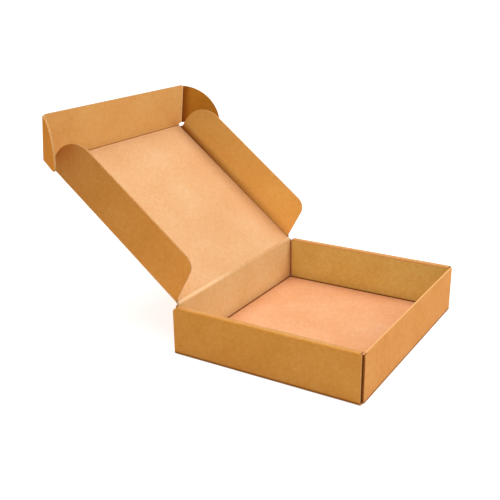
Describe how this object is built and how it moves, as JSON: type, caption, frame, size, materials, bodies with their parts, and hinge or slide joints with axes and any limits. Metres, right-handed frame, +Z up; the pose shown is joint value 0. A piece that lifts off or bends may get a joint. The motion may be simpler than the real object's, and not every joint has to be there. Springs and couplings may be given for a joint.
{
  "type": "corrugated mailer box",
  "caption": "Folded corrugated mailer tray with rolled side walls, a hinged lid, side flaps and a front flap with quarter-round lock ears.",
  "frame": {"origin": "under the middle of the tray's floor, on the surface that the box stands on", "axes": "+Z up, +X along the hinge to the right as seen from the front, +Y from the front wall to the back wall"},
  "size_m": [0.357, 0.4437, 0.2774],
  "materials": {
    "kraft_tray": "matte",
    "kraft_lid": "matte"
  },
  "bodies": {
    "tray": {"tray": "kraft_tray"},
    "lid": {"lid_panel": "kraft_lid"},
    "side_flap_left": {"side_flap_left": "kraft_lid"},
    "side_flap_right": {"side_flap_right": "kraft_lid"},
    "front_flap": {"front_flap": "kraft_lid"},
    "lock_ear_left": {"lock_ear_left": "kraft_lid"},
    "lock_ear_right": {"lock_ear_right": "kraft_lid"}
  },
  "joints": [
    {"name": "lid_hinge", "type": "hinge", "parent": "tray", "child": "lid", "pos_m": [0, 0.123, 0.0633], "axis": [-1, 0, 0], "range_deg": [-142, 45]},
    {"name": "side_flap_left_fold", "type": "hinge", "parent": "lid", "child": "side_flap_left", "pos_m": [-0.1398, 0.21756, 0.13718], "axis": [0, -0.788, -0.6157], "range_deg": [-24, 30]},
    {"name": "side_flap_right_fold", "type": "hinge", "parent": "lid", "child": "side_flap_right", "pos_m": [0.1398, 0.21756, 0.13718], "axis": [0, 0.788, 0.6157], "range_deg": [-24, 30]},
    {"name": "front_flap_fold", "type": "hinge", "parent": "lid", "child": "front_flap", "pos_m": [0, 0.31866, 0.21617], "axis": [-1, 0, 0], "range_deg": [-32, 58]},
    {"name": "lock_ear_left_fold", "type": "hinge", "parent": "front_flap", "child": "lock_ear_left", "pos_m": [-0.1467, 0.31553, 0.246], "axis": [0, 0.1045, -0.9945], "range_deg": [-32, 58]},
    {"name": "lock_ear_right_fold", "type": "hinge", "parent": "front_flap", "child": "lock_ear_right", "pos_m": [0.1467, 0.31553, 0.246], "axis": [0, -0.1045, 0.9945], "range_deg": [-32, 58]}
  ]
}
